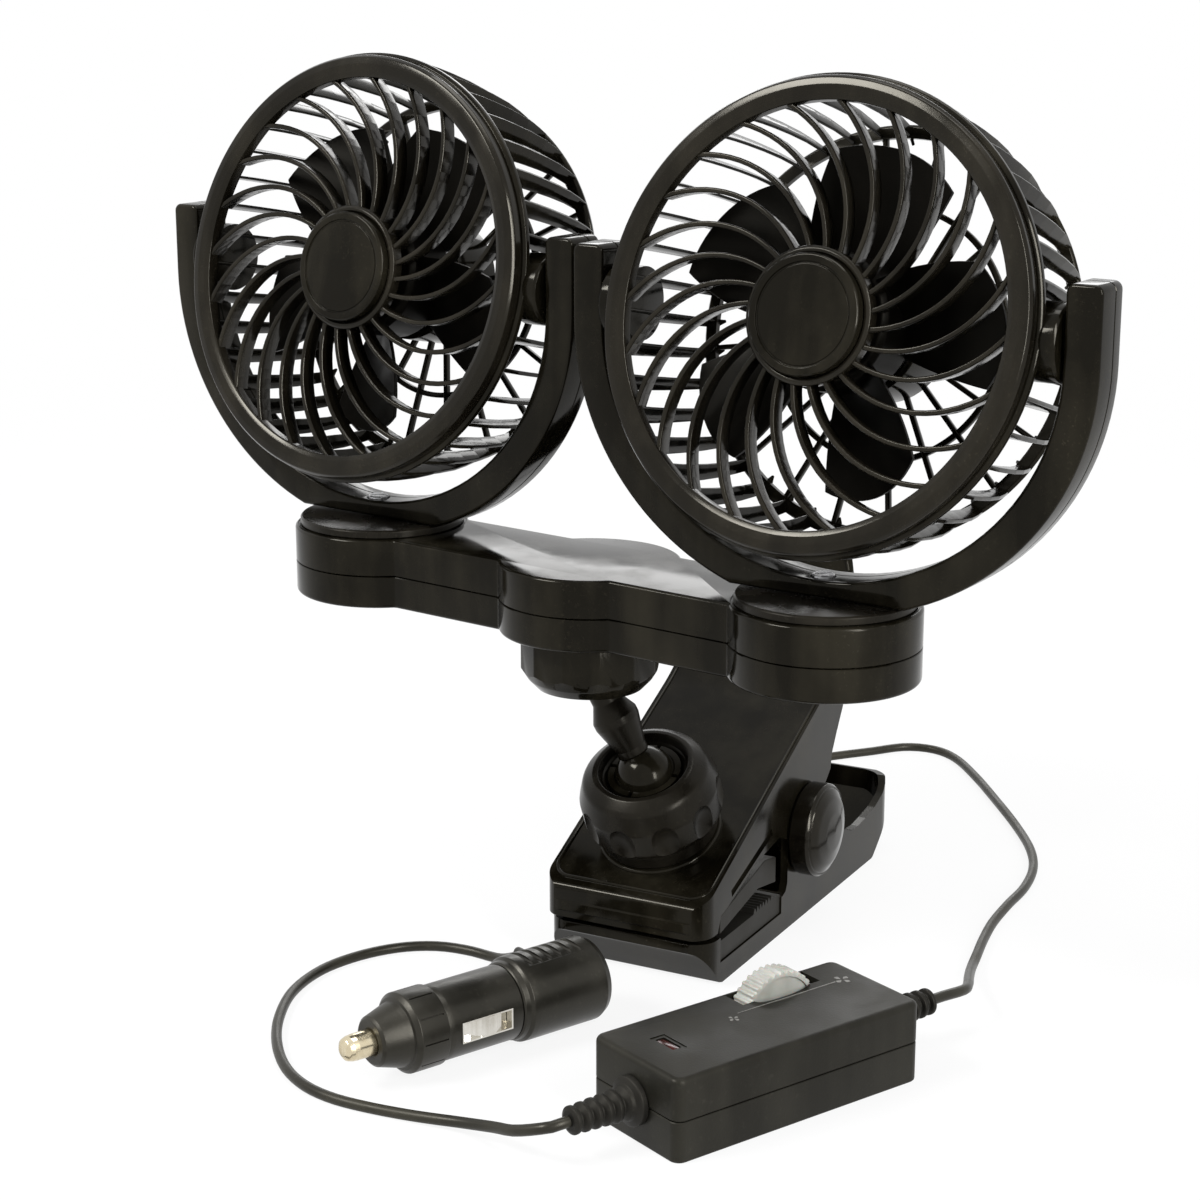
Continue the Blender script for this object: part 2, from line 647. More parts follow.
def makeCord(name, node, startPlace, startLevel, route, endPlace, endLevel):
    near = cords["gap"]
    far = near + cords["leave"]
    start = [startPlace @ Vector((0, 0, startLevel + step)) for step in (near, far)]
    end = [endPlace @ Vector((0, 0, endLevel + step)) for step in (far, near)]
    points = [point * mm for point in smoothLine(start + route + end, cords["spacing"])]
    line = bpy.data.curves.new(name, "CURVE")
    line.dimensions = "3D"
    line.bevel_depth = cords["radius"] * mm
    line.bevel_resolution = cords["roundness"]
    line.use_fill_caps = True
    spline = line.splines.new("POLY")
    spline.points.add(len(points) - 1)
    for splinePoint, point in zip(spline.points, points):
        splinePoint.co = (*point, 1)
    spline.use_smooth = True
    made = bpy.data.objects.new(name, line)
    bpy.context.scene.collection.objects.link(made)
    line.materials.append(looks["cord_sheath"])
    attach(made, "base")
    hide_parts(node)
    return made, points[0]


grommetEnd = clampHalf + grommet["length"]
bootEnd = plug["grip"] + plug["bootGap"] + boot["length"]
sleeveEnd = relief["length"]
fanLead, fanExit = makeCord("fan_lead", "fan_cord", grommetPlace, grommetEnd, fanRoute, fanSide, sleeveEnd)
plugLead, plugExit = makeCord("plug_lead", "plug_cord", bootPlace, bootEnd, plugRoute, plugSide, sleeveEnd)
print("cords laid")


# Front grille: ring, swirl bars and hub ring

grille = {
    "ring": [(54.6, 4.0), (54.6, 0.75, 0.6), (56.1, 0.25, 0.5), (58.3, 0.0, 2.0), (60.3, 0.3, 0.8),
             (61.1, 1.4, 0.7), (61.1, 4.0)],
    "hubRing": [(14.0, 2.8), (15.9, 2.8), (15.9, 1.1, 0.25), (16.3, 0.5, 0.3), (17.1, 0.4, 0.5),
                (17.9, 1.0, 0.5), (17.9, 4.6, 0.3), (2.8, 4.6), (2.8, 2.8)],
    "bars": 24, "barFrom": 17.2, "barTo": 55.2, "barStations": 18, "hubRadius": 17.5, "firstAngle": 141.6,
    "lean": 0.7, "leanMore": 0.0072,
    "barSection": [(-0.72, 1.8, 0.35), (-0.45, 1.35, 0.3), (0.45, 1.35, 0.3), (0.72, 1.8, 0.35),
                   (0.3, 6.6, 0.2), (-0.3, 6.6, 0.2)],
    "disc": [(0, -1.75), (12.9, -1.75, 0.2), (13.05, -1.5, 0.1), (13.45, -1.5, 0.1), (13.6, -2.0, 0.15),
             (15.3, -2.0, 0.5), (15.8, -1.4, 0.3), (15.8, 2.5), (2.5, 2.5), (2.5, 4.6), (0, 4.6)],
}


def swirlPoint(radius, hubAngle):
    beyond = radius - grille["hubRadius"]
    angle = math.radians(hubAngle - (grille["lean"] * beyond + grille["leanMore"] * beyond ** 2))
    return Vector((radius * math.sin(angle), -radius * math.cos(angle), 0))


def swirlBars():
    bars = bmesh.new()
    section = rounded(grille["barSection"], 3)
    first, reach = grille["barFrom"], grille["barTo"] - grille["barFrom"]
    last = grille["barStations"] - 1
    for index in range(grille["bars"]):
        hubAngle = grille["firstAngle"] + 360 * index / grille["bars"]
        points = [swirlPoint(first + reach * (i / last), hubAngle) for i in range(last + 1)]
        stations = []
        for point, ahead in zip(points, headings(points)):
            ahead.normalize()
            stations.append(framed(point, up.cross(ahead), up, ahead))
        added(bars, sweep(section, stations))
    return bars


def makeGrille(side):
    shape = turned(grille["ring"], 160)
    added(shape, turned(grille["hubRing"], 96, 3))
    added(shape, swirlBars())
    finish(side + "_grille", shape, facePlace(side), side + "_head", "rib_black", side + "_front_grille")
    disc = turned(grille["disc"], 96)
    finish(side + "_hub_disc", disc, facePlace(side), side + "_head", "gloss_black", side + "_hub_cap")


# Rear cage, motor and impeller

cage = {
    "flange": [(56.8, 4.3), (61.5, 4.3, 0.4), (62.3, 5.0, 0.5), (62.3, 6.4, 0.5), (61.6, 7.0, 0.3),
               (56.8, 7.0)],
    "slats": 40,
    "slatLine": [(61.9, 6.6), (61.6, 14), (61.1, 20), (60.2, 28), (58.9, 36), (57.4, 42), (56.0, 46.6),
                 (54.2, 48.1)],
    "slatSection": [(-0.62, 0.0, 0.3), (0.62, 0.0, 0.3), (0.42, 5.6, 0.3), (-0.42, 5.6, 0.3)],
    "slatLean": 24, "slatTwist": 2.3, "slatTaper": 0.35,
    "rim": [(52.4, 45.6), (55.4, 45.6, 0.4), (56.2, 46.4, 0.5), (55.6, 48.0, 0.6), (53.2, 48.4, 0.5),
            (52.4, 47.6, 0.4)],
    "ring": [(33.4, 46.3, 0.3), (35.0, 46.3, 0.3), (35.0, 48.3, 0.5), (33.4, 48.3, 0.5)],
    "cup": [(0, 46.5), (16.9, 46.5), (16.9, 30.0, 0.2), (18.5, 30.0, 0.3), (18.5, 47.5, 0.8),
            (17.6, 48.3, 0.4), (15.0, 48.3, 0.2), (14.8, 47.9, 0.1), (14.2, 47.9, 0.1), (14.0, 48.3, 0.2),
            (0, 48.3)],
    "spokes": 20,
    "spokeSection": [(-0.75, -1.1, 0.3), (0.75, -1.1, 0.3), (0.55, 1.1, 0.5), (-0.55, 1.1, 0.5)],
    "spokeLevel": 47.15, "spokeEnds": (18, 53),
    "boss": [(0, 57.4), (10.1, 57.4, 0.2), (10.1, 65.3, 0.5), (9.5, 66.0, 0.3), (0, 66.0)],
    "bossBore": [(0, 58.9), (3.3, 58.9), (3.3, 71), (0, 71)],
}
motor = {
    "can": [(1.2, 25.6), (4.5, 25.6, 0.3), (4.5, 27.5), (15.2, 27.5, 0.2), (15.6, 27.9, 0.1),
            (15.9, 27.5, 0.2), (16.6, 28.0, 0.5), (16.6, 33.0), (16.4, 33.3), (16.4, 33.9), (16.6, 34.2),
            (16.6, 46.2), (0, 46.2), (0, 42.3), (1.2, 42.3)],
}
rotor = {
    "hub": [(1.45, 8.5), (9.0, 8.5, 3), (17.0, 8.9, 1.2), (18.4, 10.6, 1.2), (18.4, 25.0), (16.8, 25.0),
            (16.8, 14.5, 0.6), (1.45, 14.5)],
    "blades": 5, "bladeGrid": (14, 10), "root": 17.6, "hubRadius": 18.4, "tip": 47.6, "front": 9.5,
    "back": 25.5, "thick": 1.5, "first": {"left": 32, "right": 10}, "rootChord": 62, "tipChord": 39,
    "sweepOut": 5, "bow": 0.12, "flat": 0.62, "twist": 0.38, "cornerTrim": 0.10,
}


def cageSlats():
    slats = bmesh.new()
    section = rounded(cage["slatSection"], 2)
    lean = math.radians(cage["slatLean"])
    first, last = cage["slatLine"][0][1], cage["slatLine"][-1][1]
    for index in range(cage["slats"]):
        stations = []
        for radius, depth in cage["slatLine"]:
            share = (depth - first) / (last - first)
            angle = math.radians(360 * (index + 0.5) / cage["slats"] + cage["slatTwist"] * share)
            outward = Vector((math.sin(angle), -math.cos(angle), 0))
            across = up.cross(outward)
            inward = across * math.sin(lean) - outward * math.cos(lean)
            thick = outward * math.sin(lean) + across * math.cos(lean)
            inward *= 1 - cage["slatTaper"] * share
            stations.append(framed(outward * radius + up * depth, thick, inward, up))
        added(slats, sweep(section, stations))
    return slats


def rearSpokes():
    spokes = bmesh.new()
    section = rounded(cage["spokeSection"], 2)
    for index in range(cage["spokes"]):
        spoke = spun("Z", 360 * (index + 0.5) / cage["spokes"])
        stations = [spoke @ moved(0, -radius, cage["spokeLevel"]) @ upright for radius in cage["spokeEnds"]]
        added(spokes, sweep(section, stations))
    return spokes


def makeCage(side):
    place, body = facePlace(side), side + "_head"
    shape = turned(cage["flange"], 128, 3)
    for sign in (-1, 1):
        turnOut = place.inverted() @ headPlace(side) @ spun("Y", 90 * sign)
        shape = joined(shape, turned(cage["boss"], 48), turnOut)
        shape = carved(shape, lathe(cage["bossBore"], 32), turnOut)
    added(shape, cageSlats())
    added(shape, rearSpokes())
    for part in ("rim", "ring"):
        added(shape, turned(cage[part], 128, 3))
    added(shape, turned(cage["cup"], 64))
    finish(side + "_cage", shape, place, body, "gloss_black", side + "_rear_cage")
    finish(side + "_motor_can", turned(motor["can"], 64, 3), place, body, "steel", side + "_motor")


def bladePoint(out, chordShare, firstAngle):
    radius = rotor["root"] + (rotor["tip"] - rotor["hubRadius"]) * out
    chord = rotor["rootChord"] + (rotor["tipChord"] - rotor["rootChord"]) * out
    angle = math.radians(firstAngle + chord * (chordShare - 0.5) + rotor["sweepOut"] * out)
    slope = rotor["flat"] + rotor["twist"] * (1 - out)
    lift = 0.5 - (chordShare - 0.5) * slope - rotor["bow"] * math.sin(math.pi * chordShare)
    depth = rotor["front"] + (rotor["back"] - rotor["front"]) * (1 - lift)
    return Vector((radius * math.sin(angle), -radius * math.cos(angle), depth))


def makeBlade(firstAngle):
    shape = bmesh.new()
    chordSteps, outSteps = rotor["bladeGrid"]
    bmesh.ops.create_grid(shape, x_segments=chordSteps, y_segments=outSteps, size=0.5)
    for corner in shape.verts:
        chordShare = corner.co.x + 0.5
        out = corner.co.y + 0.5
        end = abs(2 * chordShare - 1) * out
        corner.co = bladePoint(out - rotor["cornerTrim"] * end ** 2, chordShare, firstAngle)
    bmesh.ops.recalc_face_normals(shape, faces=shape.faces)
    bmesh.ops.translate(shape, verts=shape.verts, vec=(0, 0, -rotor["thick"] / 2))
    grown = bmesh.ops.extrude_face_region(shape, geom=list(shape.faces))
    raised = [item for item in grown["geom"] if isinstance(item, bmesh.types.BMVert)]
    bmesh.ops.translate(shape, verts=raised, vec=(0, 0, rotor["thick"]))
    bmesh.ops.recalc_face_normals(shape, faces=shape.faces)
    return shape


def makeImpeller(side):
    shape = turned(rotor["hub"], 72)
    for index in range(rotor["blades"]):
        added(shape, makeBlade(rotor["first"][side] + 360 * index / rotor["blades"]))
    finish(side + "_fan", shape, facePlace(side), side + "_rotor", "blade_black", side + "_impeller",
           edge=0.25)


# Yokes and their turntables

yoke = {
    "outerReach": 76.4, "innerReach": 66.8, "centre": 70, "outerDrop": 71.5, "innerDrop": 62.6,
    "bottom": 2.8, "top": 90.6, "front": 6.5, "seam": 1.7, "gap": 0.3, "wall": 1.8, "edgeRound": 1.0,
    "corner": 2.2, "seamEdge": 0.18, "pocketFrom": 14, "pocketSteps": 10, "steps": 26, "cornerSteps": 6,
    "pinHole": 3.1, "pinRoom": 0.6, "bossReach": 57.4, "screwAt": -1.6, "screwBore": (1.8, -15, 8),
    "screwHole": [(0, 0), (1.8, 0), (1.8, 6.6), (3.5, 6.6), (3.5, 12.8), (0, 12.8)],
    "turntable": [(0, 2.5), (24.0, 2.5, 0.3), (24.5, 2.0, 0.3), (24.5, 0.3), (11.95, 0.3), (11.95, -2.3),
                  (12.8, -2.3), (10.95, -10), (0, -10)],
}


def yokeReach(height, reach, drop):
    if height >= yoke["centre"]:
        return reach
    share = (yoke["centre"] - height) / drop
    return reach * math.sqrt(max(0, 1 - share * share))


def yokeOutline():
    start = math.asin((yoke["centre"] - yoke["bottom"]) / yoke["outerDrop"])
    steps, corner, turns, centre = (yoke[part] for part in ("steps", "corner", "cornerSteps", "centre"))
    outer, inner = yoke["outerReach"], yoke["innerReach"]
    right, inside = [], []
    for i in range(steps + 1):
        angle = start * (1 - i / steps)
        right.append((outer * math.cos(angle), centre - yoke["outerDrop"] * math.sin(angle)))
    right += arcPoints((outer - corner, yoke["top"] - corner), corner, 0, 90, turns)
    right += arcPoints((inner + corner, yoke["top"] - corner), corner, 90, 180, turns)
    for i in range(2 * steps + 1):
        angle = math.pi * i / (2 * steps)
        inside.append((inner * math.cos(angle), centre - yoke["innerDrop"] * math.sin(angle)))
    return right + inside + [(-x, y) for x, y in reversed(right)]


def yokePocket(sign):
    wall, steps = yoke["wall"], yoke["pocketSteps"]
    outer, inner = yoke["outerReach"] - wall, yoke["innerReach"] + wall
    low, high, top = yoke["pocketFrom"], yoke["centre"], yoke["top"] - wall
    levels = [low + (high - low) * i / steps for i in range(steps + 1)]
    outerDrop, innerDrop = yoke["outerDrop"] - wall, yoke["innerDrop"] + wall
    points = [(sign * yokeReach(level, outer, outerDrop), level) for level in levels]
    points += [(sign * outer, top), (sign * inner, top)]
    return points + [(sign * yokeReach(level, inner, innerDrop), level) for level in reversed(levels)]


def makeYokeHalf(side, half):
    wall, shut = yoke["wall"], yoke["gap"] / 2
    if half == "front":
        seam, outer = shut - yoke["seam"], yoke["front"]
        pocket = (seam - overrun, outer - wall)
    else:
        seam, outer = -yoke["seam"] - shut, -yoke["front"]
        pocket = (outer + wall, seam + overrun)
    shape = housingHalf(yokeOutline(), seam, outer, yoke["edgeRound"], yoke["seamEdge"], 4)
    toPins = upright.inverted() @ moved(0, 0, layout["tiltHeight"])
    for sign in (-1, 1):
        shape = carved(shape, slab(yokePocket(sign), *pocket))
        bore = rod(yoke["pinHole"], yoke["bossReach"], yoke["innerReach"] + wall + yoke["pinRoom"], 32)
        shape = carved(shape, bore, toPins @ spun("Y", 90 * sign))
    if half == "front":
        toScrew = upright.inverted() @ moved(0, yoke["screwAt"], 0)
        shape = carved(shape, lathe(yoke["screwHole"], 32), toScrew)
    name = f"{side}_yoke_{half}"
    finish(name + "_shell", shape, yokePlace(side) @ upright, side + "_yoke", "gloss_black", name)


def makeTurntable(side):
    bore = rod(*yoke["screwBore"], 24)
    shape = carved(turned(yoke["turntable"], 96, 3), bore, moved(0, yoke["screwAt"], 0))
    finish(side + "_turntable_disc", shape, yokePlace(side), side + "_yoke", "satin_black",
           side + "_turntable")


for side in ("left", "right"):
    makeGrille(side)
    makeCage(side)
    makeImpeller(side)
    makeYokeHalf(side, "front")
    makeYokeHalf(side, "rear")
    makeTurntable(side)
    for node in ("motor_shaft", "yoke_screw", "tilt_pin_inner", "tilt_pin_outer"):
        dress(f"{side}_{node}", "steel")
    print(side, "head and yoke made")


# Bar: two covers, the upper collet below, and the two lock nuts

bar = {
    "lobe": 26.1, "neck": 17.26, "fillet": 1.2, "wall": 2.0, "plate": 2.0, "top": 122.93, "parting": 111.97,
    "bottom": 102.32, "topRound": 1.1, "bottomRound": 1.6, "lobeStep": 4, "turntableHole": 12.05,
    "gap": 0.3, "holeTop": 128, "filletSteps": 5, "seamEdge": 0.2,
    "ringGroove": [(25.15, -0.35), (25.55, 0.4), (25.0, 0.4), (24.85, -0.35)],
}
collet = {
    "ball": 8.92, "fit": 0.25, "wall": 1.9, "pastEquator": 2.0, "neck": 13.2, "slot": 1.2, "slotDepth": 5.5,
    "seatSteps": 16, "wireBore": 2.4, "wireTop": -4.5, "upperNeck": 6.6, "lowerNeck": 13.8,
    "lowerBase": -23.17,
}
upperNut = {
    "top": -11.29, "straight": -2.19, "end": 5.03, "radius": 20.0, "endRadius": 15.3, "facets": 12,
    "corner": 1.6, "topEdge": 0.5, "flare": 0.7, "waist": (18.0, 2.2, 3), "endRound": 0.6, "mouth": 12.3,
    "mouthSlope": 1.2, "neck": 13.5, "neckEnd": -5.69, "neckSlope": 1.5, "sleeve": 11.12,
    "outside": (40, -30), "boreEnds": (-20, 10),
}
lowerNut = {
    "outer": [(12.6, -20.8), (17.2, -20.8, 0.4), (17.6, -20.2, 0.3), (17.6, -16.6, 0.4), (18.4, -16.3, 0.2),
              (18.4, -15.6, 0.2), (17.9, -15.4, 0.2), (19.8, -14.4, 0.8), (20.7, -12.4, 1.5),
              (20.7, -4.6, 3.5), (18.4, 1.6, 4), (14.9, 4.1, 1.2), (13.4, 4.2, 0.4), (13.1, 3.6, 0.3),
              (12.4, 1.9, 0.4), (11.8, 1.3, 0.3), (11.12, 0.4), (11.12, -7.07), (13.5, -9.07),
              (13.5, -20.8)],
    "widest": 20.7, "dimples": 10, "dimple": 6.2, "sink": 3.6, "level": -8.5, "stretch": 1.45,
}


def barOutline(inset):
    lobe, neck, fillet = bar["lobe"] - inset, bar["neck"] - inset, bar["fillet"] + inset
    rise = neck + fillet
    reach = math.sqrt((lobe + fillet) ** 2 - rise ** 2)
    tangent = math.degrees(math.atan2(rise, reach))
    spacing = layout["lobeSpacing"]
    steps = round((180 - tangent) / bar["lobeStep"])
    middle = round((180 - 2 * tangent) / bar["lobeStep"])
    upper = arcPoints((spacing, 0), lobe, 0, 180 - tangent, steps)
    for x, end, count in ((spacing, 180 - tangent, middle), (0, 180, steps)):
        upper += arcPoints((x - reach, rise), fillet, -tangent, -90, bar["filletSteps"])
        upper += arcPoints((x - spacing + reach, rise), fillet, -90, -180 + tangent, bar["filletSteps"])
        upper += arcPoints((x - spacing, 0), lobe, tangent, end, count)
    return upper + [(x, -y) for x, y in reversed(upper)]


def addCollet(shape, base, neckLength, place):
    # a round neck with a slotted seat for a ball
    seat, outer = collet["ball"] + collet["fit"], collet["ball"] + collet["wall"]
    brim, steps = collet["pastEquator"], collet["seatSteps"]
    lip = math.asin(brim / seat)
    profile = []
    for i in range(steps):
        angle = lip - (lip + math.pi / 2) * i / steps
        profile.append((seat * math.cos(angle), seat * math.sin(angle)))
    profile += [(0, -seat), (0, base), (collet["neck"], base), (collet["neck"], base + neckLength),
                (outer, base + neckLength), (outer, brim)]
    shape = joined(shape, lathe(profile, 64), place)
    shape = carved(shape, rod(collet["wireBore"], base - overrun, collet["wireTop"], 24), place)
    reach, half = outer + 1, collet["slot"] / 2
    for angle in (0, 90):
        slot = brick((-reach, -half, brim - collet["slotDepth"]), (reach, half, brim + overrun))
        shape = carved(shape, slot, place @ spun("Z", angle))
    return shape


def makeBar():
    low, high = bar["parting"] + bar["gap"] / 2, bar["parting"] - bar["gap"] / 2
    plan, inner = barOutline(0), barOutline(bar["wall"])
    shape = housingHalf(plan, low, bar["top"], bar["topRound"], bar["seamEdge"], 4)
    shape = carved(shape, slab(inner, low - overrun, bar["top"] - bar["plate"]))
    for sign in (-1, 1):
        lobe = moved(sign * layout["lobeSpacing"], 0, 0)
        shape = carved(shape, rod(bar["turntableHole"], low, bar["holeTop"], 64), lobe)
        shape = carved(shape, lathe(bar["ringGroove"], 128), lobe @ moved(0, 0, bar["top"]))
    finish("bar_upper_cover", shape, barPlace, "bar", "gloss_black", "bar_top_cover")
    shape = housingHalf(plan, high, bar["bottom"], bar["bottomRound"], bar["seamEdge"], 4)
    shape = carved(shape, slab(inner, bar["bottom"] + bar["plate"], high + overrun))
    base = -(bar["bottom"] + bar["plate"] / 2 - layout["upperBall"])
    shape = addCollet(shape, base, collet["upperNeck"], barPlace.inverted() @ upperSocket)
    finish("bar_lower_cover", shape, barPlace, "bar", "gloss_black", "bar_bottom_cover")


def makeUpperNut():
    facets, radius, end = upperNut["facets"], upperNut["radius"], upperNut["end"]
    outline = []
    for i in range(facets):
        angle = math.radians(360 * (i + 0.5) / facets)
        outline.append((radius * math.cos(angle), radius * math.sin(angle), upperNut["corner"]))
    shape = slab(rounded(outline, 3), upperNut["top"], end)
    roundEdges(shape, atLevel(upperNut["top"]), upperNut["topEdge"], 2)
    wide, low = upperNut["outside"]
    cone = [(0, low), (wide, low), (wide, 0), (radius + upperNut["flare"], upperNut["straight"], 3),
            upperNut["waist"], (upperNut["endRadius"], end, upperNut["endRound"]), (0, end)]
    shape = carved(shape, turned(cone, 144, 5), world, "INTERSECT")
    low, high = upperNut["boreEnds"]
    neck, neckEnd, sleeve, mouth = (upperNut[part] for part in ("neck", "neckEnd", "sleeve", "mouth"))
    bore = [(0, low), (neck, low), (neck, neckEnd), (sleeve, neckEnd + upperNut["neckSlope"]),
            (sleeve, end - upperNut["mouthSlope"]), (mouth, end), (mouth, high), (0, high)]
    shape = carved(shape, lathe(bore, 64))
    finish("upper_nut", shape, upperSocket, "upper_nut", "gloss_black", "upper_lock_nut")


def makeLowerNut():
    dimples = bmesh.new()
    centre = lowerNut["widest"] + lowerNut["dimple"] - lowerNut["sink"] / 2
    for index in range(lowerNut["dimples"]):
        dent = globe(lowerNut["dimple"], 40, 24, (1, 1, lowerNut["stretch"]))
        turn = spun("Z", 360 * (index + 0.5) / lowerNut["dimples"])
        added(dimples, dent, turn @ moved(centre, 0, lowerNut["level"]))
    shape = carved(turned(lowerNut["outer"], 180, 5), dimples)
    finish("lower_nut", shape, lowerSocket, "lower_nut", "satin_black", "lower_lock_nut",
           crease=40)


# Stem with its two balls

stem = {
    "bore": 1.8, "lowerNeck": 4.65, "upperNeck": 4.4, "ridge": 6.8, "ridgeShare": 0.54, "ridgeHalf": 1.0,
    "neckEnd": 10.1, "taperEnd": 10.8, "seatGap": 0.1, "endStep": (0.8, 0.6), "boreReach": 20,
}
lowerBallAt = Vector(layout["lowerBall"])
upperBallAt = Vector((*layout["barAxis"], layout["upperBall"]))
stemPlace = aimed(lowerBallAt, (1, 0, 0), upperBallAt - lowerBallAt)
stemLength = (upperBallAt - lowerBallAt).length


def makeStem():
    bore, lowerNeck, upperNeck, wide = (stem[part] for part in ("bore", "lowerNeck", "upperNeck", "ridge"))
    seat, half = collet["ball"] + stem["seatGap"], stem["ridgeHalf"]
    ridge = stemLength * stem["ridgeShare"]
    radii = (lowerNeck, upperNeck, bore)
    lowerSeat, upperSeat, boreSeat = (math.sqrt(seat ** 2 - radius ** 2) for radius in radii)
    stepIn, stepDown = stem["endStep"]
    profile = [(bore, boreSeat), (lowerNeck - stepIn, boreSeat - stepDown), (lowerNeck, lowerSeat, 0.2),
               (lowerNeck, stem["neckEnd"], 0.8), (wide, ridge - half, 0.5), (wide, ridge + half, 0.5),
               (upperNeck, stemLength - stem["taperEnd"], 0.8), (upperNeck, stemLength - upperSeat, 0.2),
               (bore, stemLength - boreSeat)]
    finish("ball_stem", turned(profile, 72), stemPlace, "stem", "satin_black", "stem")
    for name, height in (("lower_ball", 0), ("upper_ball", stemLength)):
        ball = carved(globe(collet["ball"], 64, 40), rod(bore, -stem["boreReach"], stem["boreReach"], 24))
        finish(name + "_joint", ball, stemPlace @ moved(0, 0, height), name, "gloss_black", name)


makeBar()
makeUpperNut()
makeLowerNut()
makeStem()
print("bar, nuts and ball joints made")


# Clamp jaws

jaw = {
    "wall": 2.35, "frontCorner": 7, "handleCorner": 9, "tailCorner": 13, "front": -11.6, "lip": 16.3,
    "rampFront": (-7.9, 27.8), "rampMiddle": (26.3, 44.4), "rampBack": (68.7, 65.2), "bend": 61,
    "bendFrom": 26.5, "bendTo": 76, "tip": (102.6, 104.2), "plate": 2.4, "pivotBack": 60, "pivotUp": 29,
    "ear": 12.5, "earRoom": 1.0, "noseSlope": 0.32, "lug": 9, "lugThick": 2.5, "pin": 3.0, "upperFit": 0.1,
    "lowerFit": 0.3, "bead": 0.55, "beadInset": 1.5, "beadSpacing": 2.5, "beadLift": 0.05, "beadAhead": 2.2,
    "beadBehind": 1.0, "stepBack": 0.55,
    "lipSteps": [(1, 18.2), (0, 18.6), (0, 21.2), (1, 21.6), (1, 24.4)], "browRound": 2.0, "brow": 24.9,
    "handleBack": [(98.5, 88), (93.8, 73), (88.5, 60), (84, 53), (80.5, 47), (79.5, 42)],
    "upperBelly": [(41, 31.5), (25, 29.3), (4, 21.9), (0.2, 21), (-2, 16.3)], "hollowFront": 22.6,
    "web": [(52, 29), (68, 29), (69, 62.6), (51, 54)], "root": [(52, 47), (68, 47), (68, 61.8), (52, 54.2)],
    "sideSlot": [(7.5, 24.2), (36.0, 34.2), (35.2, 36.4), (6.9, 26.4)], "slotDeep": 0.9,
    "socketRing": [(0, -23.2), (18.4, -23.2), (18.4, -21.5, 0.3), (17.9, -21.12, 0.3), (0, -21.12)],
    "tailEnd": 137.5, "lowerFront": -9,
    "tail": [(1.5, 0), (117, 0, 3), (121, 3, 6), (137.5, 16.5, 2), (137.5, 22, 1.2), (136.3, 23.6, 1),
             (131, 24, 2), (125, 20, 8), (118, 17.3, 6), (110, 16, 6), (104, 15.3, 6), (98, 15.5, 5),
             (92, 18, 4), (84, 20, 6), (76, 22.5, 2)],
    "throat": [(47.5, 15, 2), (46.3, 12.6, 1), (44, 11.8), (43.3, 11.8), (43.3, 6.5), (0.1, 6.5),
               (0.1, 14.3, 0.4), (-9, 14.3, 0.5), (-9, 11.4, 0.3), (-8.3, 10.9, 0.2), (-7.6, 10.0, 0.3),
               (-0.8, 0.8, 0.8)],
    "lowerHollow": [(3.5, 2.5), (86, 2.5), (86, 60), (45.4, 60), (45.4, 5.0), (40.5, 5.0), (40.5, 60),
                    (3.5, 60)],
    "trayFront": 88.4, "trayCorner": 2,
    "trayHollow": [(88.4, 2.5), (115.5, 2.5), (119.5, 5.0), (134.9, 16.8), (134.9, 60), (88.4, 60)],
}
jawSide = clampPlace.inverted() @ clampSide
jawAxle = clampPlace.inverted() @ pivotAxle
jawInside = clampHalf - jaw["wall"]


def handleArc(radius, start, end, steps):
    lean = math.radians(jaw["bendFrom"])
    back, height = jaw["rampBack"]
    centre = (back - jaw["bend"] * math.sin(lean), height + jaw["bend"] * math.cos(lean))
    return arcPoints(centre, radius, start - 90, end - 90, steps)


def clampPlan(front, back, frontCorner, backCorner, inset=0):
    half = clampHalf - inset
    corners = boxCorners(-half, front, half, back, frontCorner, frontCorner, backCorner, backCorner)
    return rounded(corners, 10)


def topOfJaw():
    return [jaw["rampFront"], jaw["rampMiddle"]] + handleArc(jaw["bend"], jaw["bendFrom"], jaw["bendTo"], 24)


def heightOnJaw(y):
    line = topOfJaw()
    if y <= line[0][0]:
        return line[0][1] - (line[0][0] - y) * jaw["noseSlope"]
    for (y0, z0), (y1, z1) in zip(line, line[1:]):
        if y <= y1:
            return z0 + (z1 - z0) * (y - y0) / (y1 - y0)
    return line[-1][1]


def upperJawOutline():
    front, back, brow = jaw["front"], jaw["stepBack"], jaw["browRound"]
    outline = [(front + back, jaw["lip"])]
    outline += [(front + back * step, level) for step, level in jaw["lipSteps"]]
    outline += arcPoints((front + back + brow, jaw["brow"]), brow, 180, 122, 5)
    outline += topOfJaw() + [jaw["tip"]] + jaw["handleBack"]
    outline += arcPoints((jaw["pivotBack"], jaw["pivotUp"]), jaw["ear"] + jaw["earRoom"], 28, 178, 30)
    return outline + jaw["upperBelly"]


def upperJawHollow():
    lean = math.radians(jaw["bendFrom"])
    drop = (jaw["plate"] * math.sin(lean), -jaw["plate"] * math.cos(lean))
    roof = [(y + drop[0], z + drop[1]) for y, z in (jaw["rampFront"], jaw["rampMiddle"])]
    roof += handleArc(jaw["bend"] + jaw["plate"], jaw["bendFrom"], jaw["bendTo"] + 1, 24)
    inner, back = jaw["front"] + jaw["wall"], roof[-1][0] + overrun
    return [(inner, 0), (inner, jaw["hollowFront"])] + roof + [(back, roof[-1][1]), (back, 0)]


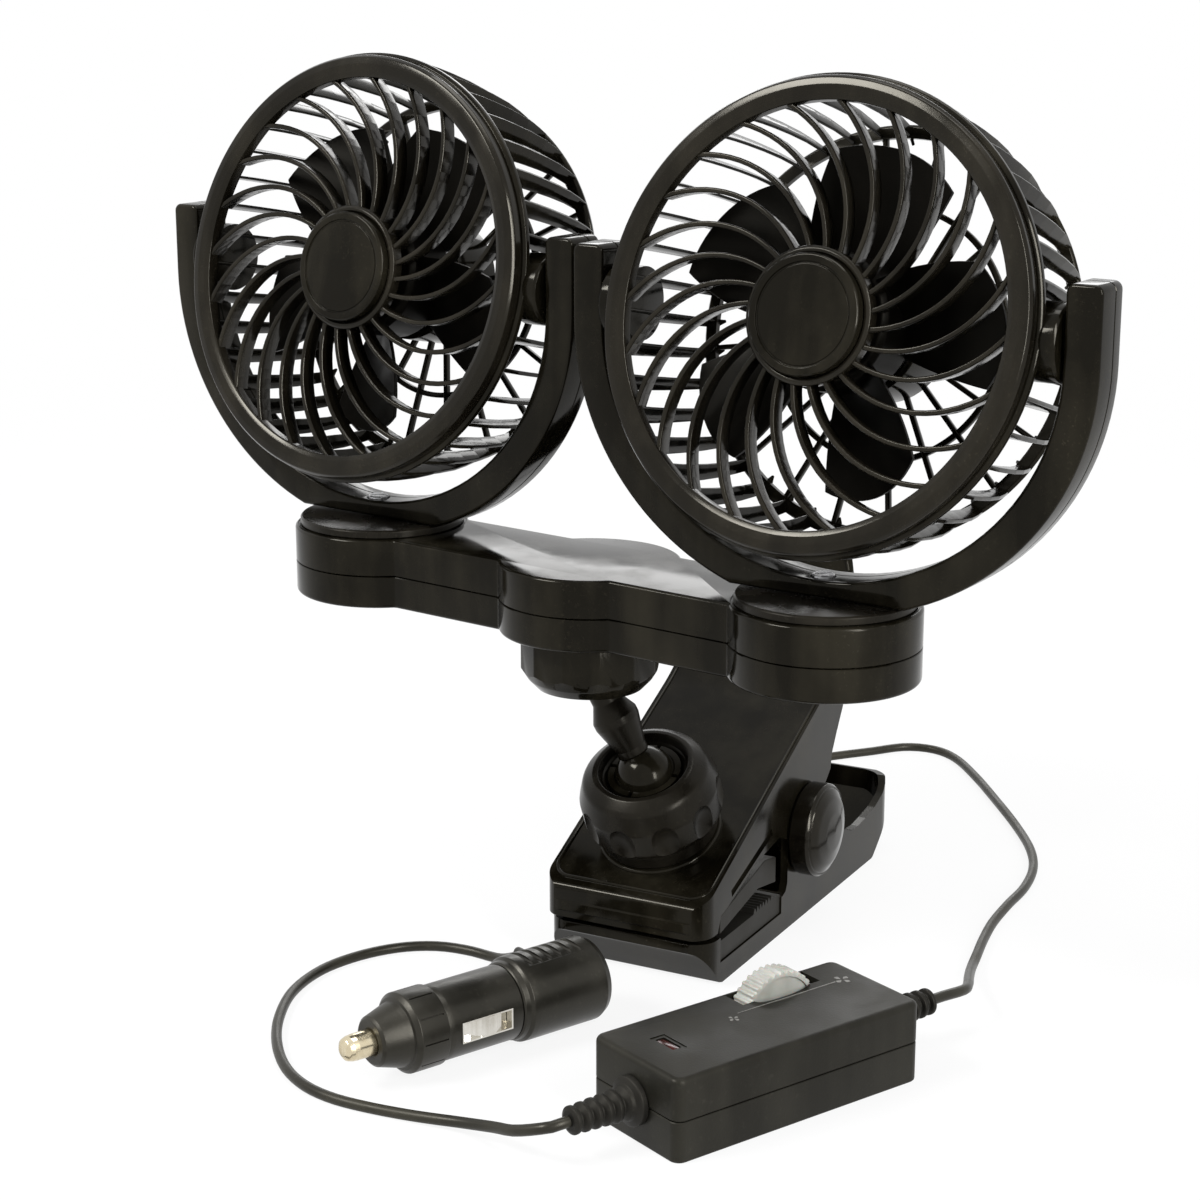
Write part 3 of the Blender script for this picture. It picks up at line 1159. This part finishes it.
def jawBead():
    # thin raised line round the border of the plate
    inset = jaw["beadInset"]
    front, back = jaw["front"] + inset + jaw["beadAhead"], jaw["tip"][0] - jaw["beadBehind"]
    plan = clampPlan(front, back, jaw["frontCorner"] - inset, jaw["handleCorner"] - inset, inset)
    dense = []
    for (x0, y0), (x1, y1) in zip(plan, plan[1:] + plan[:1]):
        steps = max(1, round(math.dist((x0, y0), (x1, y1)) / jaw["beadSpacing"]))
        dense += [(x0 + (x1 - x0) * i / steps, y0 + (y1 - y0) * i / steps) for i in range(steps)]
    points = [Vector((x, y, heightOnJaw(y) + jaw["beadLift"])) for x, y in dense]
    points.append(points[0] + (points[1] - points[0]) * 0.01)
    ring = arcPoints((0, 0), jaw["bead"], 0, 330, 11)
    return sweep(ring, along(points, (0.01, 0.02, 1)))


def jawBody(outline, plan, top, hollow):
    # a side outline cut to its plan and hollowed between the walls
    shape = slab(outline, -clampHalf - 1, clampHalf + 1)
    shape.transform(jawSide)
    shape = carved(shape, slab(plan, -overrun, top), world, "INTERSECT")
    return carved(shape, slab(hollow, -jawInside, jawInside), jawSide)


def pivotBore(fit):
    return rod(jaw["pin"] + fit, -clampHalf - overrun, clampHalf + overrun, 48)


def makeUpperJaw():
    plan = clampPlan(jaw["front"], jaw["tip"][0] + 0.2, jaw["frontCorner"], jaw["handleCorner"])
    shape = jawBody(upperJawOutline(), plan, 110, upperJawHollow())
    outer = jawInside - 0.3
    inner = outer - jaw["lugThick"]
    for sign in (-1, 1):
        for outline, low, high in ((jaw["web"], inner, outer), (jaw["root"], inner + 0.5, jawInside + 1.17)):
            ends = sorted((sign * low, sign * high))
            shape = joined(shape, slab(outline, *ends), jawSide)
        ends = sorted((sign * (inner - 0.6), sign * (outer - 0.05)))
        shape = joined(shape, rod(jaw["lug"], *ends, 48), jawAxle)
    shape = carved(shape, pivotBore(jaw["upperFit"]), jawAxle)
    for sign in (-1, 1):
        ends = sorted((sign * (clampHalf - jaw["slotDeep"]), sign * (clampHalf + 2)))
        shape = carved(shape, slab(jaw["sideSlot"], *ends), jawSide)
    socket = clampPlace.inverted() @ lowerSocket
    shape = joined(shape, turned(jaw["socketRing"], 96, 3), socket)
    shape = addCollet(shape, collet["lowerBase"], collet["lowerNeck"], socket)
    added(shape, jawBead())
    finish("upper_jaw_shell", shape, clampPlace, "upper_jaw", "gloss_black", "upper_jaw", crease=28)


def lowerJawOutline():
    ear = arcPoints((jaw["pivotBack"], jaw["pivotUp"]), jaw["ear"], 0, 180, 36)
    return rounded(jaw["tail"] + ear + jaw["throat"], 5)


def makeLowerJaw():
    wall, back = jaw["wall"], jaw["tailEnd"]
    plan = clampPlan(jaw["lowerFront"], back, jaw["frontCorner"], jaw["tailCorner"])
    shape = jawBody(lowerJawOutline(), plan, 60, jaw["lowerHollow"])
    plan = clampPlan(jaw["trayFront"], back - wall, jaw["trayCorner"], jaw["tailCorner"] - wall, wall)
    tray = slab(plan, -overrun, 60)
    tray = carved(tray, slab(jaw["trayHollow"], -jawInside, jawInside), jawSide, "INTERSECT")
    shape = carved(shape, tray)
    shape = carved(shape, pivotBore(jaw["lowerFit"]), jawAxle)
    eye = rod(grommet["radius"] + 0.3, jawInside - overrun, clampHalf + overrun, 32)
    shape = carved(shape, eye, clampPlace.inverted() @ grommetPlace)
    finish("lower_jaw_shell", shape, clampPlace, "base", "gloss_black", "lower_jaw", crease=28)


# Pads, pivot caps, springs and the lead's grommet

pads = {
    "inset": 0.5,
    "upper": [(0.6, 15), (27, 20), (39.8, 17.8), (39.8, 25.8), (32, 27.4), (4, 21.2), (0.6, 20.2)],
    "toothShares": (0.62, 0.38), "lowerBack": 43, "low": 6.8, "top": 12.8, "teeth": 7, "pitch": 2.0,
    "toothHeight": 1.6, "firstTooth": 24, "front": 0.4,
}
pivot = {
    "cap": [(3.3, 0.3), (13.4, 0.3, 0.4), (14.3, 1.1, 0.5), (14.3, 6.3, 0.5), (13.6, 7.2, 0.6),
            (13.2, 7.0, 0.2), (12.9, 7.5, 0.3), (10.4, 8.9, 6), (6.0, 9.9, 8), (0.01, 10.3, 0), (0, 10.3),
            (0, 4.35), (3.3, 4.35)],
}
spring = {
    "radius": 6.2, "wire": 0.7, "room": 0.3, "turns": 4, "pitch": 2.3, "step": 9, "upperEnd": (16, 34.2),
    "lowerEnd": (22.5, -24.8),
}


def makePads():
    half = clampHalf - pads["inset"]
    upper = slab(pads["upper"], -half, half)
    finish("upper_jaw_pad", upper, clampSide, "upper_jaw", "rubber_black", "upper_pad", edge=0.3)
    low, top, back, pitch = pads["low"], pads["top"], pads["lowerBack"], pads["pitch"]
    outline = [(pads["front"], low), (back, low), (back, top, 0.4)]
    for index in range(pads["teeth"], 0, -1):
        start = pads["firstTooth"] + (index - 1) * pitch
        outline.append((start + pitch, top))
        outline += [(start + pitch * share, top + pads["toothHeight"], 0.2) for share in pads["toothShares"]]
    outline += [(pads["firstTooth"], top), (pads["front"], top, 0.4)]
    lower = slab(rounded(outline, 3), -half, half)
    finish("lower_jaw_pad", lower, clampSide, "base", "rubber_black", "lower_pad")


def makeCaps():
    profile = [(corner[0], corner[1] + clampHalf, *corner[2:]) for corner in pivot["cap"]]
    for name, sign in sideSign.items():
        place = moved(*layout["pivot"]) @ spun("Y", 90 * sign)
        finish("pivot_button_" + name, turned(profile, 96, 5), place, "base", "rib_black",
               "pivot_cap_" + name, crease=40)


def tangentAngle(end, sign):
    y, z = end
    return math.atan2(z, y) + sign * math.acos(spring["radius"] / math.hypot(y, z))


def makeTorsionSpring():
    radius, turns = spring["radius"], spring["turns"]
    half = turns * spring["pitch"] / 2 - spring["wire"] - spring["room"]
    first = tangentAngle(spring["lowerEnd"], 1)
    swing = first - tangentAngle(spring["upperEnd"], -1)
    while swing < 2 * math.pi * (turns - 0.5):
        swing += 2 * math.pi
    points = [Vector((-half, *spring["lowerEnd"]))]
    steps = round(swing / math.radians(spring["step"]))
    for i in range(steps + 1):
        angle = first - swing * i / steps
        across = -half + 2 * half * i / steps
        points.append(Vector((across, radius * math.cos(angle), radius * math.sin(angle))))
    points.append(Vector((half, *spring["upperEnd"])))
    wire = sweep(arcPoints((0, 0), spring["wire"], 0, 330, 11), along(points, (1, 0.02, 0.01)))
    finish("clamp_spring", wire, moved(*layout["pivot"]), "base", "steel", "torsion_spring", crease=60)


def makeGrommet():
    inside, outside, end = jawInside, clampHalf, grommetEnd
    radius, flange = grommet["radius"], grommet["flange"]
    profile = [(0, inside - 1.5), (flange, inside - 1.5, 0.3), (flange, inside - 0.3),
               (radius, inside - 0.3), (radius, outside + 0.3), (flange, outside + 0.3),
               (flange, outside + 1.6, 0.5), (radius + 0.2, outside + 2.4, 0.4), (radius - 0.3, end, 0.3),
               (0, end)]
    finish("lead_sleeve", turned(profile, 48), grommetPlace, "base", "rubber_black", "lead_grommet")


makeUpperJaw()
makeLowerJaw()
makePads()
makeCaps()
makeTorsionSpring()
makeGrommet()
dress("pivot_pin", "steel")
print("clamp made")


# Speed control: covers, wheel, lamp, marks and cord sleeves

wheel = {"teeth": 36, "tooth": [(0.0, 0), (0.3, 0), (0.5, 1), (0.8, 1)], "toothRound": 0.3, "groove": 0.6,
         "edge": 0.3, "hub": 4.0, "axle": 1.6, "axleLow": 18, "axleIn": 0.6, "rim": 1.5, "web": 0.7}
lamp = {"sunk": 0.45, "edge": 0.25, "flange": 0.8, "room": 0.3}
marks = {"height": 0.12, "sunk": 0.05, "line": [(38, 22.6), (72, 22.6), (72, 22.9), (38, 22.75)],
         "fans": [((35.0, 20.6), 1.1), ((74.5, 22.8), 1.7)], "vanes": 4, "turn": 20,
         "vane": [(0.25, 0), (1.1, -0.55, 0.2), (1.5, 0, 0.2), (1.0, 0.35, 0.2)]}


def controlPlan(inset):
    radius = max(control["corner"] - inset, control["smallest"])
    return rounded(boxCorners(inset, inset, control["length"] - inset, control["width"] - inset, radius), 8)


def reliefHoles(shape):
    wall = control["wall"]
    for start in (0, control["length"] - wall):
        hole = rod(relief["neck"] + control["holeRoom"], -overrun, wall + overrun, 32)
        shape = carved(shape, hole, moved(start, 0, 0) @ cordMiddle @ spun("Y", 90))
    return shape


def windowBox(more, moreAlong, low, high):
    # a block round the middle of the lamp's window
    x, y = control["windowAt"]
    halfX, halfY = (size / 2 for size in control["windowSize"])
    halfX, halfY = halfX + more, halfY + moreAlong
    return brick((x - halfX, y - halfY, low), (x + halfX, y + halfY, high))


def makeControlCovers():
    wall, height = control["wall"], control["height"]
    low, high = control["parting"] + control["gap"] / 2, control["parting"] - control["gap"] / 2
    plan, inner = controlPlan(0), controlPlan(wall)
    shape = housingHalf(plan, low, height, control["topRound"], control["seamEdge"], 5)
    shape = carved(shape, slab(inner, low - overrun, height - wall))
    x = control["wheelAt"][0]
    near, far = control["wheelBand"]
    reach, margin = control["wheelRadius"] + control["wheelRoom"], control["slotMargin"]
    slot = brick((x - reach, near - margin, low - overrun), (x + reach, far + margin, height + overrun))
    shape = carved(shape, slot)
    dish = globe(1, 48, 32, control["dish"])
    shape = carved(shape, dish, moved(x, near, height + control["dishLift"]))
    room = control["windowRoom"]
    moreX, moreY, deep = control["border"]
    shape = carved(shape, windowBox(room, room, low, height + overrun))
    shape = carved(shape, windowBox(room + moreX, room + moreY, height - deep, height + 1))
    shape = reliefHoles(shape)
    finish("control_upper_shell", shape, controlPlace, "base", "grained_black", "control_top_cover")
    shape = housingHalf(plan, high, 0, control["bottomRound"], control["seamEdge"], 3)
    shape = reliefHoles(carved(shape, slab(inner, wall, high + overrun)))
    finish("control_lower_shell", shape, controlPlace, "base", "grained_black", "control_bottom_cover")


def makeWheel():
    near, far = control["wheelBand"]
    radius = control["wheelRadius"]
    outline = []
    for index in range(wheel["teeth"]):
        for share, sink in wheel["tooth"]:
            angle = 2 * math.pi * (index + share) / wheel["teeth"]
            out = radius - sink * wheel["groove"]
            outline.append((out * math.cos(angle), out * math.sin(angle), wheel["toothRound"]))
    shape = slab(rounded(outline, 2), near, far)
    for level in (near, far):
        roundEdges(shape, atLevel(level), wheel["edge"], 2)
    hub, rim = wheel["hub"], radius - wheel["rim"]
    for low, high in ((near - 1, near + wheel["web"]), (far - wheel["web"], far + 1)):
        shape = carved(shape, lathe([(hub, low), (rim, low), (rim, high), (hub, high)], 72))
    added(shape, rod(wheel["axle"], wheel["axleLow"], near + wheel["axleIn"], 24))
    x, z = control["wheelAt"]
    place = controlPlace @ moved(x, 0, z) @ spun("X", -90)
    finish("speed_wheel_rim", shape, place, "speed_wheel", "milky_plastic", "thumbwheel", crease=40)


def makeLamp():
    low, high = control["height"] - control["wall"] - lamp["room"], control["height"] - lamp["sunk"]
    flange = lamp["flange"]
    shape = windowBox(0, 0, low, high)
    roundEdges(shape, atLevel(high), lamp["edge"], 2)
    shape = joined(shape, windowBox(flange, flange, low - flange, low))
    finish("indicator_lens", shape, controlPlace, "base", "indicator_red", "indicator_window")


def makeMarks():
    low, high = control["height"] - marks["sunk"], control["height"] + marks["height"]
    shape = slab(marks["line"], low, high)
    for spot, size in marks["fans"]:
        outline = rounded([(x * size, y * size, *rest) for x, y, *rest in marks["vane"]], 3)
        for index in range(marks["vanes"]):
            turn = spun("Z", 360 * index / marks["vanes"] + marks["turn"])
            added(shape, slab(outline, low, high), moved(*spot, 0) @ turn)
    finish("control_marks", shape, controlPlace, "base", "printed_mark")


def reliefProfile():
    inner, neck, flange, tip = control["wall"] + 0.3, relief["neck"], relief["flange"], relief["tip"]
    profile = [(0, -inner - 1.2), (neck + 1.5, -inner - 1.2), (neck + 1.5, -inner), (neck, -inner),
               (neck, 0.3), (flange, 0.3), (flange, 1.9, 0.6), (flange - 1.8, 2.6, 0.5),
               (flange - 2.1, 3.6, 0.5)]
    start, count = relief["ribsFrom"], relief["ribs"]
    pitch = (relief["length"] - start) / count
    for index in range(count):
        low = start + index * pitch
        out = tip + relief["swell"] * (1 - index / count)
        for share, deep in zip(relief["fold"], (relief["foldDeep"], relief["foldDeep"], 0, 0)):
            profile.append((out - deep, low + share * pitch, relief["foldRound"]))
    return profile + [(tip - 1.0, relief["length"], 0.3), (0, relief["length"])]


def makeReliefs():
    for end, place in (("fan_side", fanSide), ("plug_side", plugSide)):
        shape = turned(reliefProfile(), 48)
        finish(end + "_sleeve", shape, place, "base", "rubber_black", "control_relief_" + end, crease=45)


makeControlCovers()
makeWheel()
makeLamp()
makeMarks()
makeReliefs()
dress("circuit_board", "circuit_board")
print("speed control made")


# Vehicle plug

plugParts = {
    "tip": [(0, 0), (1.7, 0.0, 0.6), (3.0, 0.8, 0.9), (3.45, 2.2, 1.0), (3.6, 3.6, 1), (3.6, 13.5),
            (4.9, 13.5, 0.1), (4.9, 15.0, 0.1), (0, 15.0)],
    "cap": [(3.65, 9.0, 0.1), (4.2, 8.7, 0.1), (6.1, 8.7, 0.5), (6.9, 9.4, 0.3), (8.7, 15.4, 0.6),
            (9.0, 16.9, 0.2), (9.9, 17.1, 0.3), (11.1, 18.2, 0.5), (11.1, 27.0, 0.15), (7.2, 27.0),
            (7.2, 22.7), (5.2, 22.0), (5.2, 13.2), (3.65, 13.2)],
    "capRadius": 11.1, "grooves": 10, "grooveWide": 0.45, "grooveDeep": 0.45, "grooveEnds": (18.9, 26.2),
    "barrel": [(4.0, 23.3), (6.9, 23.3), (6.9, 27.3), (10.35, 27.3, 0.2), (10.5, 29.0, 3),
               (10.5, 51.2, 0.15), (8.6, 51.2), (8.6, 60), (0, 60), (0, 57), (4.0, 57)],
    "slot": {"low": 31, "high": 47.5, "half": 3.0, "floor": 5.8, "reach": 16}, "contactHalf": 2.6,
    "leafThick": 0.6,
    "contact": [(31.5, 8.2, 0.3), (34.5, 9.2, 2), (37.2, 10.5, 2), (41, 10.95, 3), (44.2, 9.9, 2),
                (47.0, 8.2, 0.3)],
    "frameWide": 0.45, "frameOut": 10.72, "frameIn": 0.4, "frameGap": 0.02,
    "grip": [(8.9, 51.5), (10.5, 51.5, 0.2), (10.9, 52.0, 0.5), (11.1, 53.4, 0.5), (11.9, 54.2, 0.6),
             (12.0, 56, 2), (12.0, 78.9, 0.5), (11.0, 80.9, 0.5), (9.4, 81.7, 0.4), (0, 81.7), (0, 79.5),
             (7.9, 79.5), (7.9, 60.3), (8.9, 60.3)],
    "ribs": 6, "ribFrom": 57.8, "ribPitch": 3.3, "ribDeep": 1.2, "ribHalf": 6.6, "ribRound": 0.85,
    "bootHole": (5.9, 17),
    "spring": {"radius": 2.6, "wire": 0.4, "low": 45.3, "high": 56.7, "turns": 7, "steps": 24},
}


def makeTip():
    finish("tip_pin", turned(plugParts["tip"], 64, 5), plugPlace, "tip", "brass", "tip_contact")


def makeFuseCap():
    shape = turned(plugParts["cap"], 96)
    grooves = bmesh.new()
    half, radius = plugParts["grooveWide"] / 2, plugParts["capRadius"]
    low, high = plugParts["grooveEnds"]
    for index in range(plugParts["grooves"]):
        line = brick((radius - plugParts["grooveDeep"], -half, low), (radius + 1.9, half, high))
        added(grooves, line, spun("Z", 360 * (index + 0.5) / plugParts["grooves"]))
    shape = carved(shape, grooves)
    finish("fuse_holder_cap", shape, plugPlace, "fuse_cap", "plug_black", "fuse_cap")


def makeBarrel():
    shape = turned(plugParts["barrel"], 96)
    slot = plugParts["slot"]
    for sign in (-1, 1):
        near, far = sorted((sign * slot["floor"], sign * slot["reach"]))
        shape = carved(shape, brick((-slot["half"], near, slot["low"]), (slot["half"], far, slot["high"])))
    finish("barrel_body", shape, plugPlace, "base", "plug_black", "plug_barrel")


def makeSideContacts():
    half, wide, gap = plugParts["contactHalf"], plugParts["frameWide"], plugParts["frameGap"]
    low, high, slotHalf, floor = (plugParts["slot"][part] for part in ("low", "high", "half", "floor"))
    line = plugParts["contact"]
    foot = [(-line[-1][0], 0), (-line[0][0], 0)]
    for name, sign in (("right", 1), ("left", -1)):
        outer = rounded([(-z, y, *rest) for z, y, *rest in line] + foot, 6)[:-2]
        inner = [(z, y - plugParts["leafThick"]) for z, y in reversed(outer)]
        turnUp = Matrix(((0, 0, 1, 0), (0, sign, 0, 0), (-1, 0, 0, 0), (0, 0, 0, 1)))
        leaf = slab(outer + inner, -half, half)
        finish("contact_leaf_" + name, leaf, plugPlace @ turnUp, "contact_" + name, "nickel",
               "side_contact_" + name, edge=0.12)
        reach = slotHalf - gap
        window = brick((-reach, 0, low + gap), (reach, plugParts["frameOut"], high - gap))
        reach = slotHalf - wide
        window = carved(window, brick((-reach, -1, low + wide), (reach, 20, high - wide)))
        window = carved(window, brick((-9, -9, 20), (9, floor + plugParts["frameIn"], 60)))
        mirror = Matrix.Diagonal((1, sign, 1, 1))
        finish("contact_frame_" + name, window, plugPlace @ mirror, "base", "nickel")


def makeGrip():
    ribs = bmesh.new()
    radius = plugParts["ribRound"]
    for index in range(plugParts["ribs"]):
        level = plugParts["ribFrom"] + index * plugParts["ribPitch"]
        for sign in (-1, 1):
            groove = rod(radius, -10, 10, 20)
            groove.transform(Matrix.Diagonal((1, 1, plugParts["ribHalf"] / 10, 1)))
            side = moved(sign * (plug["grip"] + radius - plugParts["ribDeep"]), 0, level) @ upright
            added(ribs, groove, side)
    shape = carved(turned(plugParts["grip"], 96), ribs)
    hole = rod(boot["radius"] + 0.3, *plugParts["bootHole"], 32)
    shape = carved(shape, hole, plugPlace.inverted() @ bootPlace)
    finish("grip_body", shape, plugPlace, "base", "plug_black", "plug_grip")


def makeBoot():
    start = plug["grip"] + plug["bootGap"]
    radius, flange = boot["radius"], boot["flange"]
    profile = [(0, 7.4), (radius, 7.4), (radius, start), (flange, start), (flange, start + 1.4, 0.4)]
    profile += [(radius - less, start + more, 0.3) for less, more in boot["folds"]]
    profile += [(radius - 1.0, bootEnd, 0.2), (0, bootEnd)]
    finish("plug_boot", turned(profile, 48), bootPlace, "base", "rubber_black", "plug_relief")


def makeTipSpring():
    radius, wire, low, high, turns, steps = plugParts["spring"].values()
    last = steps * turns
    points = []
    for i in range(last + 1):
        angle = 2 * math.pi * turns * i / last
        level = low + wire + (high - low - 2 * wire) * i / last
        points.append((radius * math.cos(angle), radius * math.sin(angle), level))
    coil = sweep(arcPoints((0, 0), wire, 0, 315, 7), along(points, (0.01, 0.02, 1)))
    finish("tip_coil", coil, plugPlace, "base", "steel", "tip_spring", crease=60)


makeTip()
makeFuseCap()
makeBarrel()
makeSideContacts()
makeGrip()
makeBoot()
makeTipSpring()
dress("fuse", "fuse_glass")
print("plug made")
